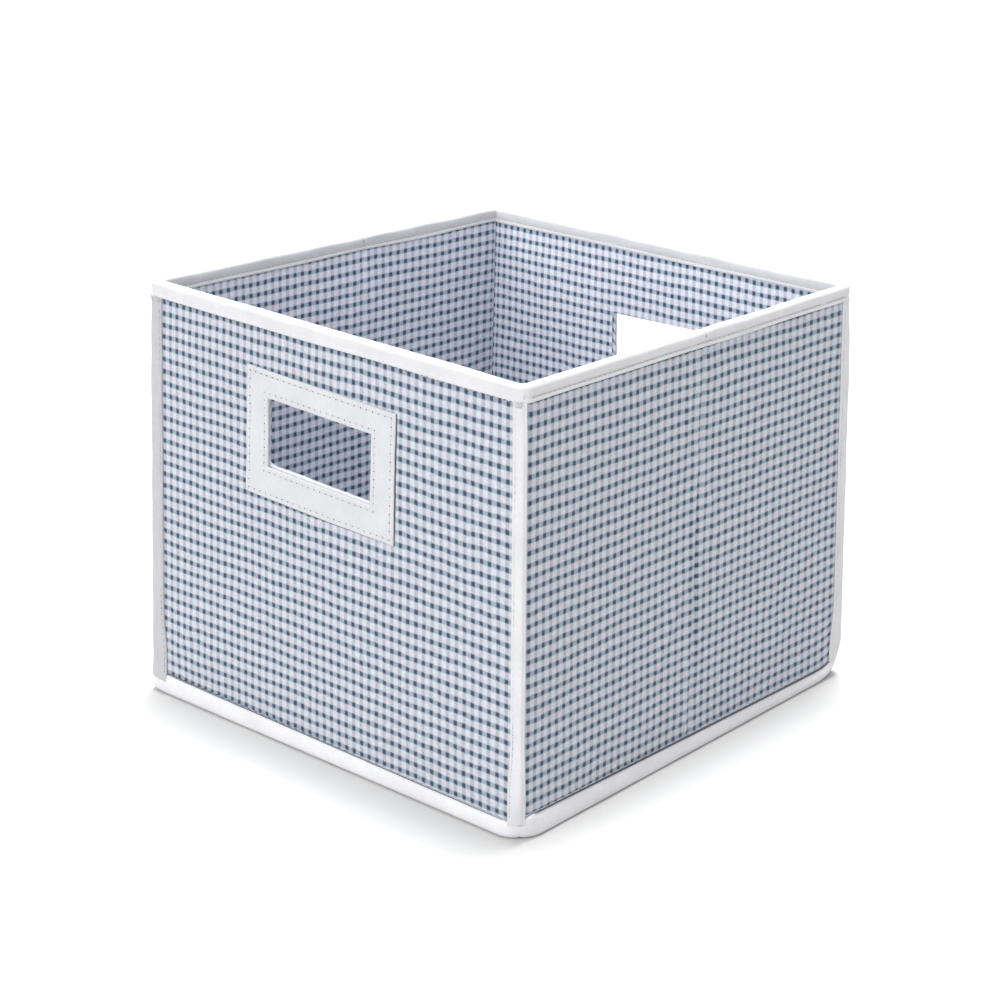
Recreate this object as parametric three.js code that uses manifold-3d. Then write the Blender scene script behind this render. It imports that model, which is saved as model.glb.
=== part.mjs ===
// Collapsible fabric storage bin: four stiffened gingham walls on a bound fabric base, a hand window
// with a stitched frame in the front and the back wall, and a loose insert board on the floor.
// Both side walls fold inwards at a middle crease, so the back wall slides flat against the front.
// Millimetres. +X right, +Y back, +Z up; the origin is the centre of the footprint on the floor.
import * as THREE from "three";
import { mergeVertices } from "three/addons/utils/BufferGeometryUtils.js";
import Module from "manifold-3d";

const wasm = await Module();
wasm.setup();

// Overall size
const WIDTH = 320;
const DEPTH = 310;
const HEIGHT = 267;

// Wall layers, from the outside in: outer fabric, stiffener board, lining
const CLEARANCE = 0.3;
const FABRIC = 0.6;
const BOARD = 2.0;
const TAPE = 1.0;
const WALL = FABRIC + CLEARANCE + BOARD + CLEARANCE + FABRIC;
const LINING_OFFSET = FABRIC + BOARD + 2 * CLEARANCE;
const BOARD_OFFSET = FABRIC + CLEARANCE;

// Bindings
const BAND_HEIGHT = 12;
const BAND_THICKNESS = 2.0;
const BAND_RADIUS = 14;
const RIM_HEIGHT = 13;
const RIM_WIDTH = WALL + 2 * (TAPE + CLEARANCE);
const CORNER_RADIUS = 4;
const NARROW_LEGS = { across: 10, along: 3 };
const WIDE_LEGS = { across: 12, along: 9 };

// Hand window and its frame
const WINDOW_WIDTH = 88;
const WINDOW_HEIGHT = 42.4;
const WINDOW_CENTRE_Z = 191.3;
const FRAME_WIDTH = 126.6;
const FRAME_HEIGHT = 78.2;
const FRAME_CENTRE_Z = 189.8;
const HANDLE_OFFSET = -4.4;
const FRAME_CORNER = 1.5;
const WINDOW_CORNER = 2.5;
const BOARD_WINDOW_MARGIN = 1.5;

// Floor
const BASE_FABRIC = 1.0;
const INSERT_BOARD = 2.5;
const INSERT_WIDTH = 304;
const INSERT_DEPTH = 293;
const INSERT_RADIUS = 8;

// Side walls: each half ends short of its pivots, where only fabric joins it to its neighbour
const CORNER_END_GAP = 1.5;
const CREASE_END_GAP = 0.15;

const OUTER_X = WIDTH / 2 - TAPE - CLEARANCE;
const OUTER_Y = DEPTH / 2 - TAPE - CLEARANCE;
const WALL_BOTTOM = BAND_HEIGHT + CLEARANCE;
const WALL_TOP = HEIGHT - RIM_WIDTH / 2;
const RIM_INNER_Y = DEPTH / 2 - RIM_WIDTH;
const PIVOT_Y = RIM_INNER_Y - RIM_WIDTH - 0.4;

const GINGHAM = { color: 0xbcc7db, roughness: 0.9 };
const WHITE_TAPE = { color: 0xf1f1f0, roughness: 0.75 };
const CHIPBOARD = { color: 0x9a8f82, roughness: 0.95 };

const bin = new THREE.Group();
bin.name = "fabric_storage_bin";

function add(name, geometry, look) {
  const clean = geometry.clone();
  clean.deleteAttribute("normal");
  clean.deleteAttribute("uv");
  const merged = mergeVertices(clean, 1e-4);
  merged.computeVertexNormals();
  const material = new THREE.MeshStandardMaterial({ ...look, metalness: 0 });
  const mesh = new THREE.Mesh(merged, material);
  mesh.name = name;
  bin.add(mesh);
}

function solid(geometry) {
  const clean = geometry.clone();
  clean.deleteAttribute("normal");
  clean.deleteAttribute("uv");
  const merged = mergeVertices(clean, 1e-4);
  return new wasm.Manifold(
    new wasm.Mesh({
      numProp: 3,
      vertProperties: new Float32Array(merged.attributes.position.array),
      triVerts: new Uint32Array(merged.index.array),
    }),
  );
}

function geometryOf(manifold) {
  const mesh = manifold.getMesh();
  const geometry = new THREE.BufferGeometry();
  geometry.setAttribute("position", new THREE.BufferAttribute(mesh.vertProperties, 3));
  geometry.setIndex(new THREE.BufferAttribute(mesh.triVerts, 1));
  return geometry;
}

function block(x0, x1, y0, y1, z0, z1) {
  const geometry = new THREE.BoxGeometry(x1 - x0, y1 - y0, z1 - z0);
  return geometry.translate((x0 + x1) / 2, (y0 + y1) / 2, (z0 + z1) / 2);
}

// Traces a rounded rectangle, counterclockwise, on a shape or a hole.
function roundedRectangle(path, cx, cy, width, height, radius) {
  const x = width / 2 - radius;
  const y = height / 2 - radius;
  const quarter = Math.PI / 2;
  path.moveTo(cx + x, cy - y - radius);
  path.absarc(cx + x, cy - y, radius, -quarter, 0);
  path.absarc(cx + x, cy + y, radius, 0, quarter);
  path.absarc(cx - x, cy + y, radius, quarter, 2 * quarter);
  path.absarc(cx - x, cy - y, radius, 2 * quarter, 3 * quarter);
  path.closePath();
  return path;
}

function roundedPlate(width, depth, radius, z0, z1) {
  const outline = roundedRectangle(new THREE.Shape(), 0, 0, width, depth, radius);
  const geometry = new THREE.ExtrudeGeometry(outline, {
    depth: z1 - z0,
    bevelEnabled: false,
    curveSegments: 8,
  });
  return geometry.translate(0, 0, z0);
}

// A layer of the front wall: an upright sheet with the hand window, its outer face at y = face.
// The board's window is larger by a margin, which the fabric turned round its edge fills.
function windowSheet(outline, face, thickness, margin = 0) {
  const hole = roundedRectangle(
    new THREE.Path(),
    HANDLE_OFFSET,
    WINDOW_CENTRE_Z,
    WINDOW_WIDTH + 2 * margin,
    WINDOW_HEIGHT + 2 * margin,
    WINDOW_CORNER,
  );
  outline.holes.push(hole);
  const geometry = new THREE.ExtrudeGeometry(outline, {
    depth: thickness,
    bevelEnabled: false,
    curveSegments: 6,
  });
  return geometry.rotateX(Math.PI / 2).translate(0, face + thickness, 0);
}

function wallOutline(halfWidth) {
  const outline = new THREE.Shape();
  outline.moveTo(-halfWidth, WALL_BOTTOM);
  outline.lineTo(halfWidth, WALL_BOTTOM);
  outline.lineTo(halfWidth, WALL_TOP);
  outline.lineTo(-halfWidth, WALL_TOP);
  outline.closePath();
  return outline;
}

// Upright bar with a half-round top, in the profile plane: centred on u = 0, its top at HEIGHT.
function rimProfile(halfWidth, bottom) {
  const centreZ = HEIGHT - RIM_WIDTH / 2;
  const profile = new THREE.Shape();
  profile.moveTo(-halfWidth, bottom);
  profile.lineTo(halfWidth, bottom);
  profile.lineTo(halfWidth, centreZ);
  profile.absarc(0, centreZ, halfWidth, 0, Math.PI);
  profile.closePath();
  return profile;
}

// The profile run along Y from y0 to y1.
function runAlongY(profile, y0, y1) {
  const geometry = new THREE.ExtrudeGeometry(profile, {
    depth: y1 - y0,
    bevelEnabled: false,
    curveSegments: 10,
  });
  return geometry.rotateX(Math.PI / 2).translate(0, y1, 0);
}

// Folded rim tape over a wall that runs along Y: outer bar less the slot the wall stands in.
function sideRim(y0, y1) {
  const bar = solid(runAlongY(rimProfile(RIM_WIDTH / 2, HEIGHT - RIM_HEIGHT), y0, y1));
  const slotHalf = WALL / 2 + CLEARANCE;
  const slot = solid(runAlongY(rimProfile(slotHalf, HEIGHT - RIM_HEIGHT - 1), y0 - 1, y1 + 1));
  return geometryOf(bar.subtract(slot)).translate(WIDTH / 2 - RIM_WIDTH / 2, 0, 0);
}

// Rim tape of the front wall: closed at both ends, its outer corners rounded in plan.
function frontRim() {
  const half = WIDTH / 2;
  const bar = runAlongY(rimProfile(RIM_WIDTH / 2, HEIGHT - RIM_HEIGHT), -half, half);
  const slotHalf = WALL / 2 + CLEARANCE;
  const slotEnd = OUTER_X + CLEARANCE;
  const slot = runAlongY(rimProfile(slotHalf, HEIGHT - RIM_HEIGHT - 1), -slotEnd, slotEnd);
  const toFront = (geometry) =>
    geometry.rotateZ(Math.PI / 2).translate(0, -DEPTH / 2 + RIM_WIDTH / 2, 0);
  const plan = roundedPlate(WIDTH, DEPTH, CORNER_RADIUS, HEIGHT - 2 * RIM_HEIGHT, HEIGHT + 1);
  const rim = solid(toFront(bar)).subtract(solid(toFront(slot))).intersect(solid(plan));
  return geometryOf(rim);
}

// Vertical binding round the front-right corner; legs.across lies on the front, legs.along on the side.
function cornerBinding(legs) {
  const x = WIDTH / 2;
  const y = -DEPTH / 2;
  const inner = CORNER_RADIUS - TAPE;
  const outline = new THREE.Shape();
  outline.moveTo(x - legs.across, y);
  outline.absarc(x - CORNER_RADIUS, y + CORNER_RADIUS, CORNER_RADIUS, -Math.PI / 2, 0);
  outline.lineTo(x, y + Math.max(legs.along, CORNER_RADIUS + 1));
  outline.lineTo(x - TAPE, y + Math.max(legs.along, CORNER_RADIUS + 1));
  outline.absarc(x - CORNER_RADIUS, y + CORNER_RADIUS, inner, 0, -Math.PI / 2, true);
  outline.lineTo(x - legs.across, y + TAPE);
  outline.closePath();
  const top = HEIGHT - RIM_HEIGHT - CLEARANCE;
  const geometry = new THREE.ExtrudeGeometry(outline, {
    depth: top - WALL_BOTTOM,
    bevelEnabled: false,
    curveSegments: 6,
  });
  return geometry.translate(0, 0, WALL_BOTTOM);
}

function mirroredX(geometry) {
  return geometryOf(solid(geometry).mirror([1, 0, 0]));
}

// Outer fabric of the front wall: its corners are cut back to lie inside the rounded bindings.
function frontFabric() {
  const sheet = solid(windowSheet(wallOutline(OUTER_X), -OUTER_Y, FABRIC));
  const reach = 2 * (TAPE + CLEARANCE);
  const plan = roundedPlate(
    WIDTH - reach,
    DEPTH - reach,
    CORNER_RADIUS - TAPE - CLEARANCE,
    0,
    HEIGHT,
  );
  return geometryOf(sheet.intersect(solid(plan)));
}

function handleFrame() {
  const outline = roundedRectangle(
    new THREE.Shape(),
    HANDLE_OFFSET,
    FRAME_CENTRE_Z,
    FRAME_WIDTH,
    FRAME_HEIGHT,
    FRAME_CORNER,
  );
  return windowSheet(outline, -DEPTH / 2, TAPE);
}

function sideSheet(offset, thickness, y0, y1) {
  const outer = OUTER_X - offset;
  return block(outer - thickness, outer, y0, y1, WALL_BOTTOM, WALL_TOP);
}

// The front wall and the back wall are the same panel, turned half round.
function wall(side, turn, rightCorner, leftCorner) {
  const boardHalf = OUTER_X - BOARD_OFFSET;
  const liningFace = -OUTER_Y + LINING_OFFSET;
  const place = (name, geometry, look) => add(name, geometry.rotateZ(turn), look);
  place(`${side}_outer_fabric`, frontFabric(), GINGHAM);
  const board = windowSheet(
    wallOutline(boardHalf),
    -OUTER_Y + BOARD_OFFSET,
    BOARD,
    BOARD_WINDOW_MARGIN,
  );
  place(`${side}_board`, board, CHIPBOARD);
  place(`${side}_lining`, windowSheet(wallOutline(boardHalf), liningFace, FABRIC), GINGHAM);
  place(`${side}_handle_frame`, handleFrame(), WHITE_TAPE);
  place(`${side}_rim_binding`, frontRim(), WHITE_TAPE);
  place(`corner_binding_${rightCorner}`, cornerBinding(NARROW_LEGS), WHITE_TAPE);
  place(`corner_binding_${leftCorner}`, mirroredX(cornerBinding(WIDE_LEGS)), WHITE_TAPE);
}

// A side wall: two stiff halves that meet at the crease, built on the right and turned for the left.
function sideWall(side, turn, nearHalf, farHalf) {
  const start = PIVOT_Y - CORNER_END_GAP;
  const end = CREASE_END_GAP;
  const place = (name, geometry, look) => add(name, geometry.rotateZ(turn), look);
  for (const [half, y0, y1] of [
    [nearHalf, -start, -end],
    [farHalf, end, start],
  ]) {
    place(`${side}_${half}_outer_fabric`, sideSheet(0, FABRIC, y0, y1), GINGHAM);
    place(`${side}_${half}_board`, sideSheet(BOARD_OFFSET, BOARD, y0, y1), CHIPBOARD);
    place(`${side}_${half}_lining`, sideSheet(LINING_OFFSET, FABRIC, y0, y1), GINGHAM);
    place(`${side}_${half}_rim_binding`, sideRim(y0, y1), WHITE_TAPE);
  }
}

// Fabric-only hinge between the front wall and a side wall, with the rim tape that bridges it.
function cornerHinge(name, turn, mirror) {
  const near = -(DEPTH / 2 - RIM_WIDTH - CLEARANCE);
  const nearLining = -OUTER_Y + WALL + CLEARANCE;
  const far = -(PIVOT_Y - CORNER_END_GAP + CLEARANCE);
  const clothX = OUTER_X - LINING_OFFSET;
  const clothTop = HEIGHT - RIM_HEIGHT - CLEARANCE;
  const cloth = block(clothX - FABRIC, clothX, nearLining, far, WALL_BOTTOM, clothTop);
  const shape = (geometry) => (mirror ? mirroredX(geometry) : geometry).rotateZ(turn);
  add(`hinge_fabric_${name}`, shape(cloth), GINGHAM);
  add(`rim_corner_${name}`, shape(sideRim(near, far)), WHITE_TAPE);
}

function floorPieces() {
  const bandOutline = roundedRectangle(new THREE.Shape(), 0, 0, WIDTH, DEPTH, BAND_RADIUS);
  const innerWidth = WIDTH - 2 * BAND_THICKNESS;
  const innerDepth = DEPTH - 2 * BAND_THICKNESS;
  const innerRadius = BAND_RADIUS - BAND_THICKNESS;
  const bandHole = new THREE.Path();
  bandOutline.holes.push(roundedRectangle(bandHole, 0, 0, innerWidth, innerDepth, innerRadius));
  const band = new THREE.ExtrudeGeometry(bandOutline, {
    depth: BAND_HEIGHT,
    bevelEnabled: false,
    curveSegments: 10,
  });
  add("base_binding", band, WHITE_TAPE);
  const gap = 2 * CLEARANCE;
  const baseRadius = innerRadius - CLEARANCE;
  const base = roundedPlate(innerWidth - gap, innerDepth - gap, baseRadius, 0, BASE_FABRIC);
  add("base_fabric", base, GINGHAM);

  const boardBottom = BASE_FABRIC + CLEARANCE;
  const boardTop = boardBottom + INSERT_BOARD;
  const wrap = FABRIC + CLEARANCE;
  add(
    "insert_board",
    roundedPlate(
      INSERT_WIDTH - 2 * wrap,
      INSERT_DEPTH - 2 * wrap,
      INSERT_RADIUS - wrap,
      boardBottom,
      boardTop,
    ),
    CHIPBOARD,
  );
  const coverTop = boardTop + wrap;
  const cover = roundedPlate(INSERT_WIDTH, INSERT_DEPTH, INSERT_RADIUS, boardBottom, coverTop);
  const pocket = roundedPlate(
    INSERT_WIDTH - 2 * FABRIC,
    INSERT_DEPTH - 2 * FABRIC,
    INSERT_RADIUS - FABRIC,
    boardBottom - 1,
    boardTop + CLEARANCE,
  );
  add("insert_cover", geometryOf(solid(cover).subtract(solid(pocket))), GINGHAM);
}

floorPieces();
wall("front", 0, "front_right", "front_left");
wall("back", Math.PI, "rear_left", "rear_right");
sideWall("right", 0, "front", "rear");
sideWall("left", Math.PI, "rear", "front");
cornerHinge("front_right", 0, false);
cornerHinge("front_left", 0, true);
cornerHinge("rear_left", Math.PI, false);
cornerHinge("rear_right", Math.PI, true);

export default bin;
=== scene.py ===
"""A folding storage bin: gingham cloth over board panels, bound in white cotton tape.

The walls are laid out flat, as (along the wall, up, outward), and then set in place:
place() puts a point on its wall, settle() rounds the corners and leans the walls the
way the soft bin stands, and on_wall() does both. Lengths are in millimetres until a
mesh is made.
"""
import math
import random

import bmesh
import bpy
import numpy as np
from mathutils import Matrix, Vector


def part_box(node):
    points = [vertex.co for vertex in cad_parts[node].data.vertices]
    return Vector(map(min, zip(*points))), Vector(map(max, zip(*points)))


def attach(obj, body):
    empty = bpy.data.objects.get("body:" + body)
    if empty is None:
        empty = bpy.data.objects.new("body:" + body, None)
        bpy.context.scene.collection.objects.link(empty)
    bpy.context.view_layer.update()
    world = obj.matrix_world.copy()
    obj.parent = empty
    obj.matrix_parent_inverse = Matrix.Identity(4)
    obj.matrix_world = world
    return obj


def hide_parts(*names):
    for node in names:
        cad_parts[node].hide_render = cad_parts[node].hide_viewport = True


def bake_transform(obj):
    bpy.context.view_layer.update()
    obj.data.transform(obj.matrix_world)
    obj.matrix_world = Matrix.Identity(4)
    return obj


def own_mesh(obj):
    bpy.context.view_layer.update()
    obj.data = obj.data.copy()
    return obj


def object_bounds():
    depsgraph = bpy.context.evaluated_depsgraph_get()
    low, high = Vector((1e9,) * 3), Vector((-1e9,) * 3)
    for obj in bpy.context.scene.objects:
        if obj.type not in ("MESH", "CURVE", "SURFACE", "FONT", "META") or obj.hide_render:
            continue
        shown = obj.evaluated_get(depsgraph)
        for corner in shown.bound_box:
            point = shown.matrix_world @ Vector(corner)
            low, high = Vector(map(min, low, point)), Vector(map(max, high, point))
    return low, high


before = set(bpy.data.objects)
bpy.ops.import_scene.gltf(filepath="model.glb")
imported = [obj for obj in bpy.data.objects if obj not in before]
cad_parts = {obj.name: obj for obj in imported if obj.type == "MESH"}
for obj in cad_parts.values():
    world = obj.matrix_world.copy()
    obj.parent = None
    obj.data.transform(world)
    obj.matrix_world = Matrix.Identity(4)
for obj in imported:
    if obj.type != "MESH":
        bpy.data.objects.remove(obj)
cad_low, cad_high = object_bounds()

MM = 0.001
EDGE_X = cad_high.x / MM
EDGE_Y = cad_high.y / MM
HEIGHT = cad_high.z / MM

# The cloth's outer planes, and the layers behind them, as offsets outward from that plane
HALF_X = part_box("right_front_outer_fabric")[1].x / MM
HALF_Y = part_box("back_outer_fabric")[1].y / MM
TAPE_FACE = EDGE_X - HALF_X
CLOTH = 0.6
BOARD_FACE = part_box("right_front_board")[1].x / MM - HALF_X
BOARD_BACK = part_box("right_front_board")[0].x / MM - HALF_X
LINING_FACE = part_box("right_front_lining")[0].x / MM - HALF_X
RIM_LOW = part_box("front_rim_binding")[0].z / MM
RIM_RADIUS = (EDGE_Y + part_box("front_rim_binding")[1].y / MM) / 2
RIM_CENTRE_Z = HEIGHT - RIM_RADIUS
WALL_TOP = RIM_CENTRE_Z - 1.6
BOARD_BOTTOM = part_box("front_board")[0].z / MM

# Along a side wall from its middle: the run over which a corner bends, half the run over which the
# crease bends, the seam between the wall's cloth and a corner's, and how far the boards may reach
CORNER_BEND = (149.3, 138.5)
CORNER_SEAM = 122.0
OPEN_CORNER_SEAM = 138.0
BOARD_REACH = 137.0
# Where each side wall's crease is drawn, at the foot and at the rim
CREASE_AT = {"right": (-5.0, 4.0), "left": (18.0, 21.5)}

MITRE = 8.0
RIM_LIP = RIM_LOW + 2.8
RIM_MIDDLE = TAPE_FACE - RIM_RADIUS
CLOTH_FOOT = 11.0
CURL_TOP = 62
BASE_REACH = (157.0, 152.0)
# Each upright corner's radius at the foot, up the wall and at the rim
CORNER_ROUND = {
    (-1, -1): (5.0, 5.0, 6.0),
    (1, -1): (20.0, 2.6, 8.0),
    (-1, 1): (12.0, 2.6, 6.0),
    (1, 1): (15.0, 3.2, 6.0),
}
# How far each corner leans (x, y) at the foot, and moves (x, y, z) at the rim, from its plan position
LEANS = {
    (-1, -1): ((5.0, -14.0), (1.6, 2.2, 3.0)),
    (1, -1): ((8.0, -8.5), (0.4, 0.2, -2.2)),
    (-1, 1): ((0.0, 0.0), (4.2, 4.3, 3.2)),
    (1, 1): ((-4.5, 10.0), (-3.6, -2.8, -0.1)),
}
# Over how long a run each corner's foot curls up off the floor, and how high
FOOT_CURL = {(-1, -1): (12.0, 4.0), (1, -1): (10.0, 1.0), (-1, 1): (14.0, 3.0), (1, 1): (28.0, 15.0)}

# The hand windows, and how far each was sewn off its place, is wider inside, and is turned
WINDOW_WIDTH = 88.0
WINDOW_HEIGHT = 42.4
WINDOW_CENTRE_Z = 191.3
WINDOW_RADIUS = 2.6
WINDOW_SHIFT = {"front": (1.7, 2.3), "back": (0.0, 0.0)}
WINDOW_SPLAY = {"front": 3.0, "back": 0.0}
WINDOW_TILT = {"front": math.radians(1.35), "back": math.radians(1.0)}
STITCH = 4.2
# A corner tape's width on the end wall and on the side wall, and how far its face stands off the cloth
WIDE_TAPE = (12.0, 9.0)
NARROW_TAPE = (7.6, 3.0)
TAPE_RISE = 1.12
# The pitch of the checks, along and up the walls
END_CHECK = (6.36, 7.26)
SIDE_CHECK = (6.593, 7.10)

WALLS = ("front", "right", "back", "left")
# A wall's two cloths: its face, the word in the piece's name, and the word in the CAD node's name
CLOTHS = (("cover", "cover", "outer_fabric"), ("lining", "inner_cloth", "lining"))


def camera():
    """The camera, at the height and turn of the photograph."""
    azimuth, elevation, roll = (math.radians(a) for a in (43.112, 19.110, 0.237))
    distance, shift_left, shift_down = 1.4424, 0.00135, 0.00524
    back = Vector((
        math.sin(azimuth) * math.cos(elevation),
        -math.cos(azimuth) * math.cos(elevation),
        math.sin(elevation),
    ))
    right = Vector((math.cos(azimuth), math.sin(azimuth), 0))
    up = back.cross(right)
    x_axis = math.cos(roll) * right + math.sin(roll) * up
    y_axis = math.cos(roll) * up - math.sin(roll) * right
    aim = Vector((0, 0, 0.130))
    eye = aim + back * distance - right * shift_left - up * shift_down
    data = bpy.data.cameras.new("camera")
    data.sensor_width = 36
    data.lens = 81.15
    data.clip_start = 0.05
    data.clip_end = 50
    cam = bpy.data.objects.new("camera", data)
    bpy.context.scene.collection.objects.link(cam)
    cam.matrix_world = Matrix.Translation(eye) @ Matrix((x_axis, y_axis, back)).transposed().to_4x4()
    bpy.context.scene.camera = cam


# ---------------------------------------------------------------- shaping

def smooth(x, a, b):
    """0 before a, 1 past b, and an even curve between."""
    t = np.clip((np.asarray(x, float) - a) / (b - a), 0, 1)
    return t * t * (3 - 2 * t)


def spread(a, b, step):
    """Even steps from a to b, about step apart."""
    return np.linspace(a, b, max(2, int(round(abs(b - a) / step)) + 1))


def stops(*values, step):
    """Even steps between each two of the values, so that all of them are met."""
    parts = [spread(a, b, step)[:-1] for a, b in zip(values, values[1:])]
    return np.concatenate([*parts, [values[-1]]])


def place(wall, c, z, d):
    """Points on a wall: c along +X or +Y, z up, d outward from the cloth. Corners are mitred."""
    c, z, d = np.broadcast_arrays(*(np.asarray(v, float) for v in (c, z, d)))
    ends = wall in ("front", "back")
    reach, out = (HALF_X, HALF_Y + d) if ends else (HALF_Y, HALF_X + d)
    straight = reach - MITRE
    past = np.maximum(np.abs(c) - straight, 0)
    along = np.sign(c) * (np.minimum(np.abs(c), straight) + past * (MITRE + d) / MITRE)
    if wall == "front":
        return np.stack([along, -out, z], -1)
    if wall == "back":
        return np.stack([along, out, z], -1)
    return np.stack([out if wall == "right" else -out, along, z], -1)


def rounded(x, y, reach_x, reach_y, radius):
    """A plan's points, with its square corners drawn in to a radius."""
    px = np.maximum(np.abs(x) - (reach_x - radius), 0)
    py = np.maximum(np.abs(y) - (reach_y - radius), 0)
    far = np.hypot(px, py)
    scale = np.where((px > 0) & (py > 0), np.maximum(px, py) / np.maximum(far, 1e-9), 1)
    x = np.sign(x) * (np.minimum(np.abs(x), reach_x - radius) + px * scale)
    y = np.sign(y) * (np.minimum(np.abs(y), reach_y - radius) + py * scale)
    return x, y


def settle(points):
    """Curls the foot up at its corners, rounds the corners in plan, then leans the walls."""
    shape = points.shape
    x, y, z = points.reshape(-1, 3).T
    low_down = 1 - smooth(z, 8, CURL_TOP)
    for (sx, sy), (run, height) in FOOT_CURL.items():
        near = np.minimum(sx * x - (HALF_X - run), sy * y - (HALF_Y - run)) / run
        z = z + height * (1 - np.sqrt(1 - np.clip(near, 0, 1) ** 2)) * low_down
    foot = 1 - smooth(z, -4, 32)
    rim = smooth(z, 225, RIM_LOW)
    radius = np.zeros_like(x)
    for (sx, sy), (low, mid, high) in CORNER_ROUND.items():
        here = ((x > 0) == (sx > 0)) & ((y > 0) == (sy > 0))
        radius = np.where(here, mid + (low - mid) * foot + (high - mid) * rim, radius)
    x, y = rounded(x, y, EDGE_X, EDGE_Y, radius)
    u, v, w = x / (2 * EDGE_X) + 0.5, y / (2 * EDGE_Y) + 0.5, z / HEIGHT
    dx, dy, dz = np.zeros_like(x), np.zeros_like(x), np.zeros_like(x)
    for (sx, sy), (low, high) in LEANS.items():
        share = (u if sx > 0 else 1 - u) * (v if sy > 0 else 1 - v)
        dx += share * (low[0] * (1 - w) + high[0] * w)
        dy += share * (low[1] * (1 - w) + high[1] * w)
        dz += share * high[2] * w
    return np.stack([x + dx, y + dy, z + dz], -1).reshape(shape)


def on_wall(wall, c, z, d):
    """Points on a wall, as the settled bin has them."""
    return settle(place(wall, c, z, d))


def waves(seed, shortest, longest, count=9):
    """A soft, uneven surface: a sum of ripples in many directions, from about -1 to 1."""
    draw = random.Random(seed)
    parts = []
    for _ in range(count):
        turn, length = draw.uniform(0, math.tau), draw.uniform(shortest, longest)
        parts.append((math.cos(turn) / length, math.sin(turn) / length, draw.uniform(0, math.tau)))

    def height(a, b):
        return sum(np.sin(math.tau * (i * a + j * b) + k) for i, j, k in parts) / math.sqrt(count)

    return height


def ridge(c, z, at, turn, length, width):
    """A pulled fold in the cloth, 1 along its crest."""
    a, b = math.cos(math.radians(turn)), math.sin(math.radians(turn))
    along = (c - at[0]) * a + (z - at[1]) * b
    across = (z - at[1]) * a - (c - at[0]) * b
    return np.exp(-((along / length) ** 2) - (across / width) ** 2)


# Pulled folds: wall, face, where they are, how they turn, their length, width and height
FOLDS = [
    ("front", "cover", (-128, 40), 52, 26, 4.0, 0.9),
    ("front", "cover", (-112, 30), 38, 30, 4.5, 0.8),
    ("front", "cover", (-140, 82), 70, 22, 3.5, 0.6),
    ("front", "cover", (108, 60), -58, 34, 5.0, 0.6),
    ("front", "cover", (60, 236), 12, 40, 4.0, 0.5),
    ("right", "cover", (-24, 92), 64, 30, 3.6, 0.9),
    ("right", "cover", (14, 150), -70, 34, 3.6, 0.8),
    ("right", "cover", (-12, 212), 80, 26, 2.8, 0.7),
    ("right", "cover", (96, 60), 40, 30, 4.5, 0.6),
    ("right", "cover", (-112, 44), -46, 26, 4.5, 0.6),
    ("back", "lining", (-136, 168), -28, 18, 3.2, 1.1),
    ("back", "lining", (-128, 150), -20, 16, 3.0, 0.8),
    ("left", "lining", (128, 160), 30, 18, 3.2, 0.8),
    ("left", "lining", (10, 200), 84, 40, 3.0, 0.7),
    ("left", "lining", (30, 214), 78, 30, 2.6, 0.6),
]
BROAD = {wall: waves(11 + i, 70, 160) for i, wall in enumerate(WALLS)}
FINE = {wall: waves(31 + i, 14, 34, 14) for i, wall in enumerate(WALLS)}


def crease_line(wall, z):
    """Where a side wall's crease is at a height; it runs a little askew."""
    low, high = CREASE_AT[wall]
    return low + (high - low) * z / HEIGHT


def relief(wall, face, c, z):
    """How far the cloth stands proud of its board: slack, puckers, folds and the hinge creases."""
    reach = HALF_X if wall in ("front", "back") else HALF_Y
    inner = face == "lining"
    fade = smooth(reach - np.abs(c), 8, 30) * smooth(z, 16, 34) * (1 - smooth(z, 236, 252))
    shift = 200 if inner else 0
    out = 0.3 + 0.3 * BROAD[wall](c + shift, z) + 0.13 * FINE[wall](c + shift, z)
    out = np.maximum(out, -0.1) * fade
    for on, side, at, turn, length, width, height in FOLDS:
        if on == wall and side == face:
            out = out + height * ridge(c, z, at, turn, length, width) * fade
    if wall in CREASE_AT:
        from_crease = c - crease_line(wall, z)
        # the left crease is shallow, because its board lies close behind the lining
        depth = 0.75 if wall == "right" else 0.5
        out = out - depth * np.exp(-((from_crease / 1.3) ** 2))
        out = out + 0.55 * np.exp(-(((np.abs(from_crease) - 4.2) / 2.2) ** 2))
        if not inner:
            out = out - 0.8 * np.exp(-(((np.abs(c) - 150.6) / 1.2) ** 2))
    return -out if inner else out


def band_top(wall, c):
    """The base band's height along a wall; on the side walls it is deeper towards the front."""
    if wall == "front":
        return 12.2 - 1.3 * np.asarray(c, float) / HALF_X
    if wall == "back":
        return 12.0 + 0 * np.asarray(c, float)
    return 12.1 - 3.2 * np.asarray(c, float) / HALF_Y


def lowered(wall, c, z):
    """Heights with the sheet's lower edge brought to the band's top and the rest eased in."""
    ease = 1 - smooth(z, CLOTH_FOOT, CLOTH_FOOT + 45)
    return z + (band_top(wall, c) + 0.9 - CLOTH_FOOT) * ease


def tilted(wall, c, z):
    """The hand window and its frame were sewn on a little askew; the cloth near them follows."""
    (x0, _, z0), (x1, _, z1) = (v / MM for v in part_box(f"{wall}_handle_frame"))
    mid_c, mid_z = (x0 + x1) / 2, (z0 + z1) / 2
    away = np.maximum(np.abs(c - mid_c) - (x1 - x0) / 2, np.abs(z - mid_z) - (z1 - z0) / 2)
    near = 1 - smooth(away, 0, 22)
    turn = WINDOW_TILT[wall] * near * (-1 if wall == "back" else 1)
    shift_c, shift_z = WINDOW_SHIFT[wall]
    return c + turn * (z - mid_z) + shift_c * near, z - turn * (c - mid_c) + shift_z * near


# ---------------------------------------------------------------- mesh building

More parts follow.
